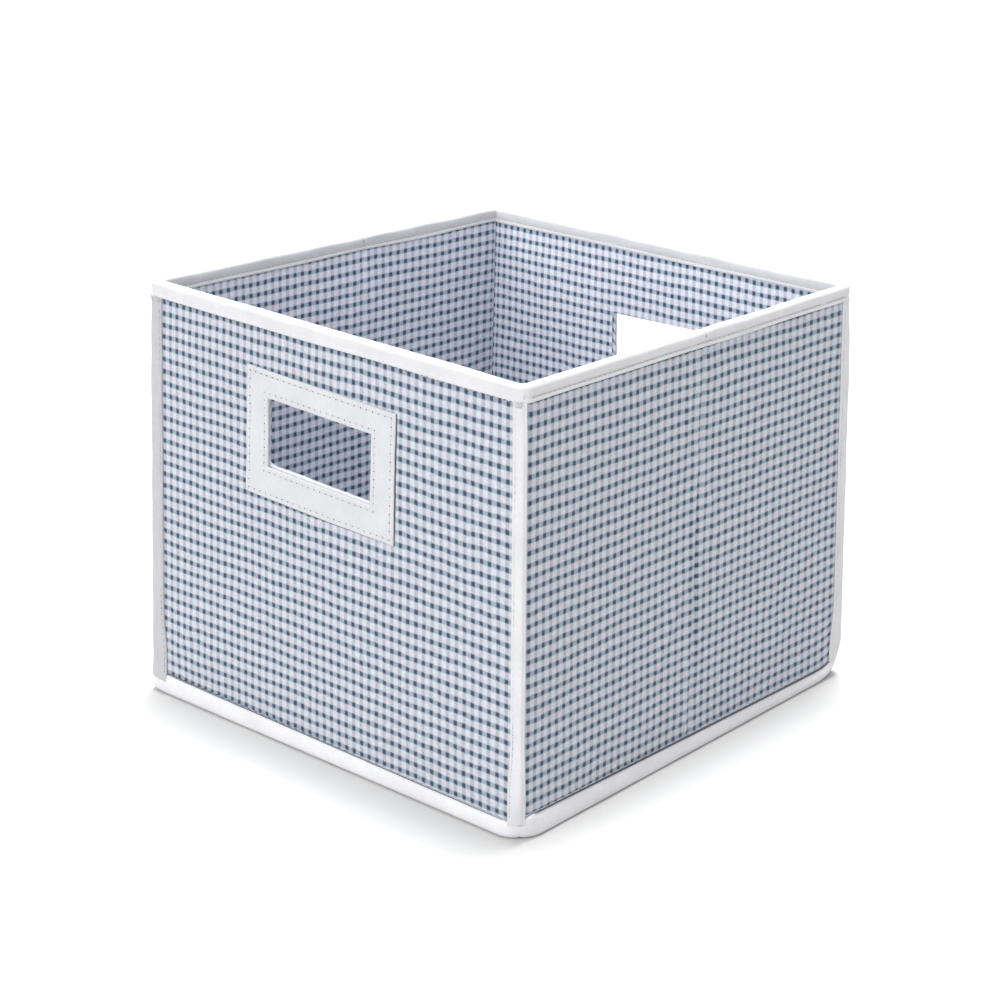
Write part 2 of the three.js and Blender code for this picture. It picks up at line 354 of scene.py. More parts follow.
class Shape:
    """Points and faces being gathered for one piece."""

    def __init__(self):
        self.points, self.uvs, self.faces, self.slots = [], [], [], []
        self.count = 0

    def add(self, points, uvs, faces, slot=0):
        points = np.asarray(points, float).reshape(-1, 3)
        self.points.append(points)
        self.uvs.append(np.asarray(uvs, float).reshape(-1, 2))
        self.faces += [[i + self.count for i in f] for f in faces]
        self.slots += [slot] * len(faces)
        self.count += len(points)

    def slab(self, top, bottom, uvs, keep=None, slot=0):
        """A sheet with two faces, closed round its edge and round the cells left out by keep."""
        rows, columns = top.shape[:2]
        index = np.arange(rows * columns).reshape(rows, columns)
        quads = np.stack([index[:-1, :-1], index[:-1, 1:], index[1:, 1:], index[1:, :-1]], -1)
        quads = quads[keep] if keep is not None else quads.reshape(-1, 4)
        under = rows * columns
        faces = [list(q) for q in quads] + [[i + under for i in q[::-1]] for q in quads]
        used = {}
        for q in quads:
            for a, b in zip(q, np.roll(q, -1)):
                used[(a, b)] = True
        for a, b in used:
            if (b, a) not in used:
                faces.append([b, a, a + under, b + under])
        both = np.concatenate([top.reshape(-1, 3), bottom.reshape(-1, 3)])
        self.add(both, np.concatenate([uvs.reshape(-1, 2)] * 2), faces, slot)

    def loft(self, rings, uvs=None, closed=False, slot=0):
        """A skin over closed rings, with a cap on each end unless the rings close on themselves."""
        n, m = rings.shape[:2]
        if uvs is None:
            uvs = np.zeros((n, m, 2))
        faces = []
        for i in range(n if closed else n - 1):
            j = (i + 1) % n
            for k in range(m):
                l = (k + 1) % m
                faces.append([i * m + k, i * m + l, j * m + l, j * m + k])
        if not closed:
            faces.append(list(range(m))[::-1])
            faces.append([(n - 1) * m + k for k in range(m)])
        self.add(rings, uvs, faces, slot)

    def thread(self, path, radius, slot=1, flat=0.7, sides=6):
        """One stitch: a short tapered tube along the path."""
        path = np.asarray(path, float)
        along = np.gradient(path, axis=0)
        along /= np.linalg.norm(along, axis=1)[:, None]
        side = np.cross(along, [0.31, 0.27, 0.91])
        side /= np.linalg.norm(side, axis=1)[:, None]
        up = np.cross(side, along)
        t = np.linspace(-1, 1, len(path))
        size = radius * np.sqrt(np.maximum(1 - 0.86 * t**4, 0.1))
        turn = np.arange(sides) * math.tau / sides
        rings = (
            path[:, None]
            + side[:, None] * (size[:, None] * np.cos(turn))[..., None]
            + up[:, None] * (size[:, None] * flat * np.sin(turn))[..., None]
        )
        self.loft(rings, slot=slot)


def piece(name, shape, materials):
    """The finished mesh object of a shape, with smooth faces and crisp edges."""
    points = np.concatenate(shape.points) * MM
    mesh = bpy.data.meshes.new(name)
    mesh.from_pydata([tuple(p) for p in points], [], [list(map(int, f)) for f in shape.faces])
    uvs = np.concatenate(shape.uvs)
    layer = mesh.uv_layers.new(name="cloth")
    corners = np.zeros(len(mesh.loops), np.int32)
    mesh.loops.foreach_get("vertex_index", corners)
    layer.data.foreach_set("uv", uvs[corners].astype(np.float32).ravel())
    for material in materials:
        mesh.materials.append(material)
    mesh.polygons.foreach_set("material_index", np.array(shape.slots, np.int32))
    work = bmesh.new()
    work.from_mesh(mesh)
    bmesh.ops.remove_doubles(work, verts=work.verts, dist=1e-7)
    bmesh.ops.recalc_face_normals(work, faces=work.faces)
    work.to_mesh(mesh)
    work.free()
    mesh.polygons.foreach_set("use_smooth", np.ones(len(mesh.polygons), bool))
    mesh.set_sharp_from_angle(angle=math.radians(48))
    mesh.update()
    obj = bpy.data.objects.new(name, mesh)
    bpy.context.scene.collection.objects.link(obj)
    return obj


# ---------------------------------------------------------------- materials

def linear(red, green, blue, gain=1.0):
    """A colour given in 0-255 display values, as linear light."""
    def one(v):
        v /= 255
        return min(1.0, gain * (v / 12.92 if v <= 0.04045 else ((v + 0.055) / 1.055) ** 2.4))
    return one(red), one(green), one(blue), 1


class Nodes:
    """A short way to write a material's node tree."""

    def __init__(self, name):
        self.material = bpy.data.materials.new(name)
        self.material.use_nodes = True
        self.tree = self.material.node_tree
        self.shader = self.tree.nodes["Principled BSDF"]

    def link(self, value, socket):
        if isinstance(value, bpy.types.NodeSocket):
            self.tree.links.new(value, socket)
        elif value is not None:
            socket.default_value = value

    def node(self, kind, inputs=(), **settings):
        made = self.tree.nodes.new(kind)
        for key, value in settings.items():
            setattr(made, key, value)
        for key, value in dict(inputs).items():
            self.link(value, made.inputs[key])
        return made

    def math(self, operation, a, b=None, c=None):
        made = self.node("ShaderNodeMath", operation=operation)
        for socket, value in zip(made.inputs, (a, b, c)):
            self.link(value, socket)
        return made.outputs[0]

    def mix(self, share, a, b, blend="MIX"):
        made = self.node("ShaderNodeMix", data_type="RGBA", blend_type=blend)
        self.link(share, made.inputs[0])
        self.link(a, made.inputs[6])
        self.link(b, made.inputs[7])
        return made.outputs[2]

    def ramp(self, value, low, high, start=0.0, end=1.0):
        """value from low..high turned into start..end along a smooth step."""
        made = self.node("ShaderNodeMapRange", interpolation_type="SMOOTHSTEP")
        for socket, v in zip(made.inputs, (value, low, high, start, end)):
            self.link(v, socket)
        return made.outputs[0]

    def noise(self, vector, scale, detail=2.0, roughness=0.5):
        made = self.node("ShaderNodeTexNoise", {"Scale": scale, "Detail": detail, "Roughness": roughness})
        self.link(vector, made.inputs["Vector"])
        return made.outputs

    def moved(self, vector, by, x, y):
        """vector, moved by (x, y) times another vector."""
        made = self.node("ShaderNodeVectorMath", operation="MULTIPLY_ADD")
        self.link(by, made.inputs[0])
        made.inputs[1].default_value = (x, y, 0)
        self.link(vector, made.inputs[2])
        return made.outputs[0]

    def scaled(self, vector, x, y, z=1.0):
        made = self.node("ShaderNodeVectorMath", operation="MULTIPLY")
        self.link(vector, made.inputs[0])
        made.inputs[1].default_value = (x, y, z)
        return made.outputs[0]

    def bump(self, height, distance, strength=1.0, under=None):
        made = self.node("ShaderNodeBump", {"Strength": strength, "Distance": distance, "Height": height})
        self.link(under, made.inputs["Normal"])
        return made.outputs[0]


def gingham(name, shade=1.0, warmth=0.0):
    """Yarn-dyed check: pale warp bands, bluer weft bands, navy-teal where they cross.

    The cloth's coordinates count checks, so a band is the middle share of each whole number."""
    n = Nodes(name)
    uv = n.node("ShaderNodeUVMap", uv_map="cloth").outputs[0]
    drift = n.noise(uv, 0.16, 1.0)[1]
    wobble = n.noise(uv, 1.1, 1.0)[1]
    uneven = n.moved(n.moved(uv, drift, 0.24, 0.30), wobble, 0.10, 0.14)
    apart = n.node("ShaderNodeSeparateXYZ", {0: uneven}).outputs

    def band(value, width, soft_edge=0.095):
        middle = n.math("ABSOLUTE", n.math("SUBTRACT", n.math("FRACT", value), 0.5))
        return n.ramp(middle, width / 2 - soft_edge, width / 2 + soft_edge, 1.0, 0.0)

    warp = band(apart[0], 0.43)
    weft = band(apart[1], 0.41)

    ground = linear(236 + warmth, 240, 250, shade)
    warp_dye = linear(200 + warmth, 206, 221, shade)
    weft_dye = linear(174 + warmth, 189, 206, shade)
    crossing = linear(62 + warmth, 78, 104, shade)
    blush = n.ramp(n.noise(uv, 1.3, 2.0)[0], 0.50, 0.66)
    mint = n.ramp(n.noise(n.scaled(uv, 1.0, 1.3), 1.0, 2.0)[0], 0.48, 0.66)
    pale = n.mix(n.math("MULTIPLY", blush, 0.55), ground, linear(246, 226, 238, shade))
    cool = n.mix(n.math("MULTIPLY", mint, 0.7), weft_dye, linear(166, 196, 203, shade))
    deep = n.mix(n.math("MULTIPLY", mint, 0.7), crossing, linear(48, 92, 106, shade))
    cloth = n.mix(weft, n.mix(warp, pale, warp_dye), n.mix(warp, cool, deep))

    yarns = n.node("ShaderNodeSeparateXYZ", {0: n.scaled(uneven, 13.0, 15.0)}).outputs
    over = n.math("SINE", n.math("MULTIPLY", yarns[0], math.tau))
    under = n.math("SINE", n.math("MULTIPLY", yarns[1], math.tau))
    weave = n.math("MULTIPLY", over, under)
    slub = n.noise(n.scaled(uv, 0.55, 5.0), 2.2, 3.0, 0.6)[0]
    seer = n.noise(n.scaled(uv, 1.6, 1.1), 1.9, 3.0, 0.65)[0]
    tone = n.math("ADD", n.ramp(slub, 0.25, 0.75, 0.93, 1.05), n.math("MULTIPLY", weave, 0.03))
    tone = n.math("MULTIPLY", tone, n.ramp(seer, 0.3, 0.72, 0.90, 1.06))
    toned = n.node("ShaderNodeVectorMath", {0: cloth}, operation="SCALE")
    n.link(tone, toned.inputs["Scale"])
    n.link(toned.outputs[0], n.shader.inputs["Base Color"])

    soft = n.bump(seer, 0.0007, 0.55)
    fine = n.bump(weave, 0.00012, 0.5, soft)
    n.link(fine, n.shader.inputs["Normal"])
    n.link(n.ramp(seer, 0.2, 0.8, 0.80, 0.94), n.shader.inputs["Roughness"])
    n.shader.inputs["Specular IOR Level"].default_value = 0.2
    n.shader.inputs["Sheen Weight"].default_value = 0.12
    n.shader.inputs["Sheen Roughness"].default_value = 0.5
    return n.material


def white_tape(name, colour, fibre=1.0):
    """Cotton tape: a fine close weave, faint slubs and a little greying where it is handled."""
    n = Nodes(name)
    place_on = n.node("ShaderNodeTexCoord").outputs["Object"]
    grey = n.noise(place_on, 38.0, 4.0, 0.6)[0]
    slub = n.noise(place_on, 420.0, 3.0, 0.65)[0]
    twill = n.node(
        "ShaderNodeTexWave",
        {"Vector": place_on, "Scale": 620.0 * fibre, "Distortion": 2.5, "Detail": 2.0},
        bands_direction="DIAGONAL",
    ).outputs[1]
    worn = tuple(0.88 * v for v in colour[:3]) + (1,)
    base = n.mix(n.ramp(grey, 0.35, 0.75, 0.0, 0.7), colour, worn)
    base = n.mix(n.ramp(slub, 0.35, 0.7, 0.0, 0.35), base, worn)
    n.link(base, n.shader.inputs["Base Color"])
    height = n.math("ADD", n.math("MULTIPLY", twill, 0.35), slub)
    n.link(n.bump(height, 0.00025, 0.5), n.shader.inputs["Normal"])
    n.link(n.ramp(slub, 0.2, 0.8, 0.66, 0.84), n.shader.inputs["Roughness"])
    n.shader.inputs["Specular IOR Level"].default_value = 0.25
    n.shader.inputs["Sheen Weight"].default_value = 0.1
    return n.material


def plain_thread(name, colour):
    """Sewing thread, a little uneven along its length."""
    n = Nodes(name)
    place_on = n.node("ShaderNodeTexCoord").outputs["Object"]
    twist = n.noise(place_on, 900.0, 2.0)[0]
    dull = tuple(0.72 * v for v in colour[:3]) + (1,)
    n.link(n.mix(n.ramp(twist, 0.35, 0.65), colour, dull), n.shader.inputs["Base Color"])
    n.link(n.bump(twist, 0.0002, 0.6), n.shader.inputs["Normal"])
    n.shader.inputs["Roughness"].default_value = 0.7
    return n.material


def chipboard():
    """Grey-brown board made of pressed flakes."""
    n = Nodes("chipboard")
    place_on = n.node("ShaderNodeTexCoord").outputs["Object"]
    flakes = n.node("ShaderNodeTexVoronoi", {"Vector": place_on, "Scale": 380.0}).outputs
    fleck = n.noise(place_on, 600.0, 3.0, 0.7)[0]
    base = n.mix(n.ramp(fleck, 0.35, 0.7), linear(120, 108, 94), linear(74, 66, 58))
    base = n.mix(n.math("MULTIPLY", flakes[0], 0.4), base, linear(150, 138, 120))
    n.link(base, n.shader.inputs["Base Color"])
    n.link(n.bump(fleck, 0.0004, 0.6), n.shader.inputs["Normal"])
    n.link(n.ramp(fleck, 0.3, 0.7, 0.8, 0.97), n.shader.inputs["Roughness"])
    return n.material


GINGHAM = gingham("gingham_cloth", 0.575)
# the lining is a brighter, slightly warmer copy of the cover's gingham: painted light inside the bin
LINING = gingham("gingham_lining_painted_light", 0.91, 1.5)
FLOOR_CLOTH = gingham("gingham_floor", 0.64)
TAPE = white_tape("white_cotton_tape", linear(240, 240, 243, 0.60))
# a brighter copy of the white tape, painted light: for the base band and the back's and left's rims
LIT_TAPE = white_tape("tape_painted_light", linear(239, 239, 242, 0.72))
# a darker copy of the white tape, painted shade: for the front-left corner tape, which turns away from the
# light
SHADED_TAPE = white_tape("tape_painted_shade", linear(236, 236, 240, 0.46))
FRAME_TAPE = white_tape("white_frame_tape", linear(238, 239, 243, 0.565), 1.4)
THREAD = plain_thread("white_thread", linear(238, 238, 242, 0.58))
# dark thread marks for needle holes, the gaps under the rim lip and along the band's top, and beside the
# handle frame: painted shade
SHADE_THREAD = plain_thread("painted_shade_thread", linear(66, 70, 82))
BOARD = chipboard()


# ---------------------------------------------------------------- pattern

def checks(wall, c, z):
    """The cloth's coordinates at a point of a wall, counted in checks."""
    c, z = np.broadcast_arrays(np.asarray(c, float), np.asarray(z, float))
    if wall in ("front", "back"):
        return np.stack([c / END_CHECK[0] + 0.15, z / END_CHECK[1] + 0.2], -1)
    # the side walls' checks were cut with a slowly changing pitch
    return np.stack([c / SIDE_CHECK[0] - 6.8e-5 * c * c + 0.3, z / SIDE_CHECK[1] + 0.1], -1)


# ---------------------------------------------------------------- sheets on the walls

def sheet(name, wall, face, cs, zs, keep=None, warp=None):
    """A cover or a lining: a thin sheet of cloth along one wall."""
    c, z = np.meshgrid(cs, zs, indexing="ij")
    z = lowered(wall, c, z)
    if warp is not None:
        c, z = warp(c, z)
    base = 0.0 if face == "cover" else LINING_FACE
    rise = relief(wall, face, c, z)
    back = -CLOTH if face == "cover" else CLOTH
    top = on_wall(wall, c, z, base + rise)
    under = on_wall(wall, c, z, base + rise + back)
    shape = Shape()
    shape.slab(top, under, checks(wall, c, z), keep)
    # the lining is in the brighter copy of the gingham: painted light
    material = GINGHAM if face == "cover" else LINING
    return piece(name, shape, [material])


def window(wall):
    """(c0, c1, z0, z1) of a wall's hand window."""
    low, high = (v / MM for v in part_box(f"{wall}_handle_frame"))
    mid = (low.x + high.x) / 2
    half_c, half_z = WINDOW_WIDTH / 2, WINDOW_HEIGHT / 2
    return mid - half_c, mid + half_c, WINDOW_CENTRE_Z - half_z, WINDOW_CENTRE_Z + half_z


def outside(cs, zs, c0, c1, z0, z1):
    """Which cells between the lines cs and zs lie outside a window."""
    mid_c, mid_z = (cs[1:] + cs[:-1]) / 2, (zs[1:] + zs[:-1]) / 2
    return ~(((mid_c > c0) & (mid_c < c1))[:, None] & ((mid_z > z0) & (mid_z < z1))[None, :])


def windowed(name, wall, face):
    """The cloth of an end wall, with its hand window cut out, wider on the lining's side."""
    c0, c1, z0, z1 = window(wall)
    if face == "lining":
        c0, c1 = c0 - WINDOW_SPLAY[wall], c1 + WINDOW_SPLAY[wall]
    edge, r = HALF_X - 10, WINDOW_RADIUS
    across = (c0 - r, c0, c0 + r, c1 - r, c1, c1 + r)
    up = (z0 - r, z0, z0 + r, z1 - r, z1, z1 + r)
    cs = stops(-HALF_X, -edge, *across, edge, HALF_X, step=2.6)
    zs = stops(CLOTH_FOOT, CURL_TOP, *up, WALL_TOP, step=2.6)

    def warp(c, z):
        cut = 0.29 * r
        for corner_c, way_c in ((c0, 1), (c1, -1)):
            for corner_z, way_z in ((z0, 1), (z1, -1)):
                at = (np.abs(c - corner_c) < 1e-6) & (np.abs(z - corner_z) < 1e-6)
                c = np.where(at, c + way_c * cut, c)
                z = np.where(at, z + way_z * cut, z)
        return tilted(wall, c, z)

    return sheet(name, wall, face, cs, zs, outside(cs, zs, c0, c1, z0, z1), warp)


def rounded_outline(c0, c1, z0, z1, radius, step):
    """Points round a rectangle with rounded corners, anticlockwise."""
    points = []
    corners = [
        (c1 - radius, z0 + radius, -90), (c1 - radius, z1 - radius, 0),
        (c0 + radius, z1 - radius, 90), (c0 + radius, z0 + radius, 180),
    ]
    for i, (c, z, start) in enumerate(corners):
        for k in range(5):
            a = math.radians(start + 22.5 * k)
            points.append((c + radius * math.cos(a), z + radius * math.sin(a)))
        nc, nz, nstart = corners[(i + 1) % 4]
        a = math.radians(nstart)
        goal = (nc + radius * math.cos(a), nz + radius * math.sin(a))
        from_c, from_z = points[-1]
        run_c, run_z = goal[0] - from_c, goal[1] - from_z
        count = max(1, int(math.hypot(run_c, run_z) / step))
        for k in range(1, count):
            points.append((from_c + run_c * k / count, from_z + run_z * k / count))
    return np.array(points)


def window_edge(wall):
    """What is turned in over the board's cut edge in a hand window: tape in front, gingham behind."""
    c0, c1, z0, z1 = window(wall)
    thick, step = 0.5, 2.6
    outline = rounded_outline(c0, c1, z0, z1, WINDOW_RADIUS, step)
    outer = rounded_outline(
        c0 - thick, c1 + thick, z0 - thick, z1 + thick, WINDOW_RADIUS + thick, step
    )
    depths = np.array([0.15, -0.6, -2.0, -3.2, LINING_FACE - 0.15])
    splay = WINDOW_SPLAY[wall] * depths / depths[-1]
    mid_c = (c0 + c1) / 2
    rings, uvs = [], []
    for (c, z), (co, zo) in zip(outline, outer):
        way = np.clip((c - mid_c) / (c1 - mid_c), -1, 1) ** 15
        ring_c = np.concatenate([c + way * splay, (co + way * splay)[::-1]])
        ring_z = np.concatenate([np.full(5, z), np.full(5, zo)])
        ring_d = np.concatenate([depths, depths[::-1] + np.array([0.3, 0, 0, 0, -0.3])])
        tc, tz = tilted(wall, ring_c, ring_z)
        rings.append(on_wall(wall, tc, tz, ring_d))
        uvs.append(checks(wall, tc + ring_d, tz + ring_d))
    shape = Shape()
    shape.loft(np.array(rings), np.array(uvs), closed=True)
    if wall == "back":
        return piece("back_window_edge", shape, [LINING])
    return piece("front_window_edge", shape, [FRAME_TAPE])


def board(name, wall, c0, c1, hole=()):
    """A chipboard panel between the cloths."""
    cs = stops(c0, *hole[:2], c1, step=8)
    zs = stops(BOARD_BOTTOM + 2.8, *hole[2:], WALL_TOP - 0.3, step=8)
    keep = outside(cs, zs, *hole) if hole else None
    c, z = np.meshgrid(cs, zs, indexing="ij")
    if hole:
        c, z = tilted(wall, c, z)
    top = on_wall(wall, c, z, BOARD_FACE)
    under = on_wall(wall, c, z, BOARD_BACK)
    # a side wall's boards stay clear of the cloth that bends at its corners
    if wall in CREASE_AT:
        for face in (top, under):
            face[..., 1] = np.clip(face[..., 1], -BOARD_REACH, BOARD_REACH)
    shape = Shape()
    shape.slab(top, under, checks(wall, c, z), keep)
    return piece(name, shape, [BOARD])


# ---------------------------------------------------------------- tapes

def rim_profile():
    """(outward, up) round the folded tape over a wall's top edge, with its pinched stitch line."""
    out = TAPE_FACE
    outer = [
        (0.4, RIM_LIP - 0.2), (out - 0.25, RIM_LIP - 0.1), (out, RIM_LIP + 0.7),
        (out - 0.05, RIM_LIP + 1.4), (0.6, RIM_LIP + 2.2), (0.55, RIM_LIP + 2.7),
        (0.95, RIM_LIP + 3.6), (out - 0.04, RIM_LIP + 4.8), (out, RIM_LIP + 5.8),
    ]
    arch = [
        (RIM_MIDDLE + RIM_RADIUS * math.cos(a), RIM_CENTRE_Z + RIM_RADIUS * math.sin(a))
        for a in np.linspace(0, math.pi, 11)
    ]
    inner = [(2 * RIM_MIDDLE - d, z) for d, z in outer[::-1]]
    slot = [(2 * RIM_MIDDLE - 0.4, WALL_TOP + 0.7), (0.4, WALL_TOP + 0.7)]
    return np.array(outer + arch + inner + slot)


RIM_PROFILE = rim_profile()
RIM_SWELL = waves(71, 18, 60, 8)


def rim_ring(wall, c):
    """The rim tape's section at one place: it swells, puckers at the stitches, is pinched at a crease."""
    d, z = RIM_PROFILE.T.copy()
    # the front's outer face has only a shallow groove
    if wall == "front":
        groove = (d > 0.5) & (z > RIM_LIP + 1) & (z < RIM_LIP + 4)
        d = np.where(groove, TAPE_FACE - 0.35 * (TAPE_FACE - d), d)
    side = np.sign(d - RIM_MIDDLE)
    low = 1 - smooth(z, RIM_LIP + 1, RIM_LIP + 4)
    number = WALLS.index(wall)
    pucker = 0.10 * math.sin(math.tau * c / STITCH) * low
    swell = 0.22 * (RIM_SWELL(c, number * 300.0) - 1) * np.exp(-(((z - RIM_LIP - 5) / 3.0) ** 2))
    d = d + side * (pucker + swell)
    z = z + 0.18 * (RIM_SWELL(c * 0.7, number * 300.0 + 90) - 1) * smooth(z, RIM_CENTRE_Z, HEIGHT)
    z = z + 0.35 * RIM_SWELL(c * 0.5, number * 300.0 + 40) * low * (z < RIM_LIP + 3)
    if wall in CREASE_AT:
        pinch = math.exp(-(((c - crease_line(wall, HEIGHT)) / 1.1) ** 2))
        d = RIM_MIDDLE + (d - RIM_MIDDLE) * (1 - 0.16 * pinch)
        z = z - 1.3 * pinch * smooth(z, RIM_CENTRE_Z - 4, HEIGHT)
    return on_wall(wall, c, z, d)


def rim_stitches(shape, wall, c0, c1):
    """Stitches along the faces of the rim tape, with their needle holes, and dark dashes under its lip; the
    holes and the dashes are painted shade.
    """
    z = RIM_LIP + 2.4
    bulge = 0.10 * np.cos(np.linspace(-1.4, 1.4, 4))
    for c in np.arange(math.ceil(c0 / STITCH) * STITCH + 0.8, c1 - 3.0, STITCH):
        # the front's outer face has no stitches to be seen
        for way in (-1,) if wall == "front" else (1, -1):
            t = np.linspace(0, 2.7, 4)
            d = RIM_MIDDLE + way * (RIM_RADIUS - 0.62 + bulge)
            shape.thread(on_wall(wall, c + t, z + 0.1 * t, d), 0.3)
            ends = np.array([-0.75, -0.4, -0.05])
            # dark dashes at each stitch's end stand for needle holes: painted shade
            shape.thread(on_wall(wall, c + ends, z + 0 * ends, d[0] + 0 * ends), 0.26, slot=2)
        t = np.linspace(0.2, 2.3, 4)
        # dark dashes just under the lip: painted shade under its overhang
        lip = place(wall, c + t, RIM_LIP - 0.45 + 0 * t, 0.45 + 0 * t)
        shape.thread(settle(lip), 0.48 if wall in CREASE_AT else 0.3, slot=2)


def crease_tack(shape, wall):
    """The few tight turns of thread over the rim at a side wall's crease."""
    c = crease_line(wall, HEIGHT)
    for shift in (-0.5, 0.1, 0.6):
        a = np.linspace(-0.35, math.pi + 0.35, 9)
        d = RIM_MIDDLE + (RIM_RADIUS * 0.90) * np.cos(a)
        z = RIM_CENTRE_Z - 0.9 + (RIM_RADIUS * 0.93) * np.sin(a)
        shape.thread(on_wall(wall, c + shift, z, d), 0.3, sides=5)


def rim(name, runs, tack=None):
    """A length of rim tape over one or more walls; runs are (wall, from, to)."""
    rings = []
    shape = Shape()
    for wall, a, b in runs:
        for c in spread(a, b, 1.0):
            rings.append(rim_ring(wall, c))
    merged = [rings[0]]
    for ring in rings[1:]:
        if np.abs(ring - merged[-1]).max() > 1e-6:
            merged.append(ring)
    rings = np.array(merged)
    shape.loft(rings)
    for wall, a, b in runs:
        rim_stitches(shape, wall, min(a, b), max(a, b))
    if tack:
        crease_tack(shape, tack)
    # the back's and the left's rims take the base band's brighter copy of the tape: painted light
    far = "back" in name or "left" in name
    return piece(name, shape, [LIT_TAPE if far else TAPE, THREAD, SHADE_THREAD])


def corner_tape(name, end, side, across, along):
    """The tape folded round an upright corner, flared and tucked at its foot, with a bar tack on top."""
    sign_end = 1 if side == "right" else -1
    sign_side = 1 if end == "back" else -1
    zs = np.concatenate([spread(9.0, 40, 2.0), spread(42, 244, 4.0), spread(246, RIM_LIP + 0.2, 1.6)])
    ruffle = waves(len(name), 25, 70, 6)

    def widths(z):
        flare = 1 + 0.42 * (1 - float(smooth(z, 10, 58)))
        return across * min(flare, 1.22), along * flare

    def height(t):
        edge = np.clip(t / 0.7, 0, 1)
        bead = 0.12 * np.exp(-((t - 0.9) / 0.5) ** 2)
        seam = 0.22 * np.exp(-((t - 1.9) / 0.45) ** 2)
        return 0.45 + 0.75 * np.sqrt(edge) + bead - seam

    rings = []
    for z in zs:
        a, b = widths(z)
        foot = 0.55 * (1 - float(smooth(z, 9, 15)))
        u = np.concatenate([[0, 0.25, 0.7, 1.2, 1.8, 2.4], np.linspace(3.4, a - 1.0, 6), [a - 0.5, a]])
        middle = np.linspace(1.6, max(b - 2.0, 1.8), 4)
        v = np.concatenate([[0.5, 1.0], middle, [b - 1.2, b - 0.7, b - 0.25, b]])
        end_c = sign_end * (HALF_X - a + u)
        side_c = sign_side * (HALF_Y - v)
        wave = 0.12 * float(ruffle(z, 0)) + foot
        top_end = place(end, end_c, z, height(u) + wave)
        top_side = place(side, side_c, z, height(np.maximum(b - v, 0)) * 0.98 + wave)
        low_end = place(end, end_c, z, 0.22)
        low_side = place(side, side_c, z, 0.22)
        rings.append(np.concatenate([top_end, top_side, low_side[::-1], low_end[::-1]]))
    shape = Shape()
    rings = settle(np.array(rings))
    shape.loft(rings)
    # stitches down both edges of a wide tape and one of a narrow one, and needle holes low down, painted
    # dark as shade
    inset = 1.9
    for z in np.arange(16, 248, STITCH):
        a, b = widths(z)
        t = np.linspace(0, 2.6, 4)
        c = sign_end * (HALF_X - a + inset)
        shape.thread(on_wall(end, c, z + t, TAPE_RISE - 0.05 + 0 * t), 0.22)
        if along > 5:
            side_c = sign_side * (HALF_Y - b + inset)
            shape.thread(on_wall(side, side_c, z + t, TAPE_RISE - 0.04 + 0 * t), 0.22)
        if z < 74:
            holes = np.array([z - 1.15, z - 0.8, z - 0.45])
            shape.thread(on_wall(end, c, holes, TAPE_RISE + 0.1), 0.3, slot=2)
    bar_tack(shape, end, sign_end, across)
    # the front-left corner tape is in the darker copy: painted shade
    tape = SHADED_TAPE if (end, side) == ("front", "left") else TAPE
    return piece(name, shape, [tape, THREAD, SHADE_THREAD])


def bar_tack(shape, end, sign_end, across):
    """A dense oval of thread that locks the top of a corner tape."""
    middle = HALF_X - across / 2 + 0.2
    for i, z in enumerate(np.linspace(RIM_LIP - 2.6, RIM_LIP + 0.3, 5)):
        half = (across / 2 - 0.4) * math.sqrt(1 - ((i - 2) / 2.6) ** 2)
        c = sign_end * np.linspace(middle - half, middle + half, 6)
        shape.thread(on_wall(end, c, np.full(6, z), 1.3 + 0 * c), 0.46, flat=0.75)


BAND_SWELL = waves(91, 40, 120, 7)


def base_band():
    """The rolled white band that the walls' feet are sewn into."""
    runs = [
        ("front", -HALF_X, HALF_X), ("right", -HALF_Y, HALF_Y),
        ("back", HALF_X, -HALF_X), ("left", HALF_Y, -HALF_Y),
    ]
    rings = []
    for wall, a, b in runs:
        number = WALLS.index(wall)
        end_run = np.sign(b - a) * 30
        cs = np.concatenate([
            spread(a, a + end_run, 1.5)[:-1],
            spread(a + end_run, b - end_run, 4.0)[:-1],
            spread(b - end_run, b, 1.5)[:-1],
        ])
        for c in cs:
            top = float(band_top(wall, c))
            # the two walls' bands meet at one height at a corner
            reach = abs(a)
            near = float(smooth(abs(c), reach - 9, reach))
            sx = np.sign(c) if wall in ("front", "back") else (1 if wall == "right" else -1)
            sy = np.sign(c) if wall in ("right", "left") else (1 if wall == "back" else -1)
            corner = (
                float(band_top("right" if sx > 0 else "left", sy * HALF_Y))
                + float(band_top("back" if sy > 0 else "front", sx * HALF_X))
            ) / 2
            top = top * (1 - near) + corner * near
            swell = 0.2 * float(BAND_SWELL(c, number * 400.0))
            profile = np.array([
                (-2.6, 0.15), (-1.0, 0.0), (0.1, 0.35), (0.75, 1.2), (1.15 + swell, 2.6),
                (1.35 + swell, 4.4), (1.35 + swell, top * 0.55), (1.2 + swell, top - 3.4),
                (1.1, top - 2.0), (0.75, top - 0.9), (0.1, top - 0.25), (-0.7, top - 0.1),
                (-1.4, top - 0.6), (-1.7, top - 1.6), (-1.8, top - 4.0), (-2.2, 2.2), (-2.6, 1.3),
            ])
            rings.append(place(wall, c, profile[:, 1], profile[:, 0]))
    rings = settle(np.array(rings))
    shape = Shape()
    shape.loft(rings, closed=True)
    # a dark thread along the band's top, painted shadow in the gap between the cloth and the band, heavier
    # on the side walls
    for wall in ("right", "left", "front", "back"):
        reach, size = (HALF_Y, 0.85) if wall in CREASE_AT else (HALF_X, 0.3)
        c = spread(-reach + 11, reach - 13, 4.0)
        shape.thread(on_wall(wall, c, band_top(wall, c) + 0.25, 0.75 + 0 * c), size, slot=2)
    # the band is in the brighter copy of the tape: painted light
    return piece("base_band", shape, [LIT_TAPE, THREAD, SHADE_THREAD])


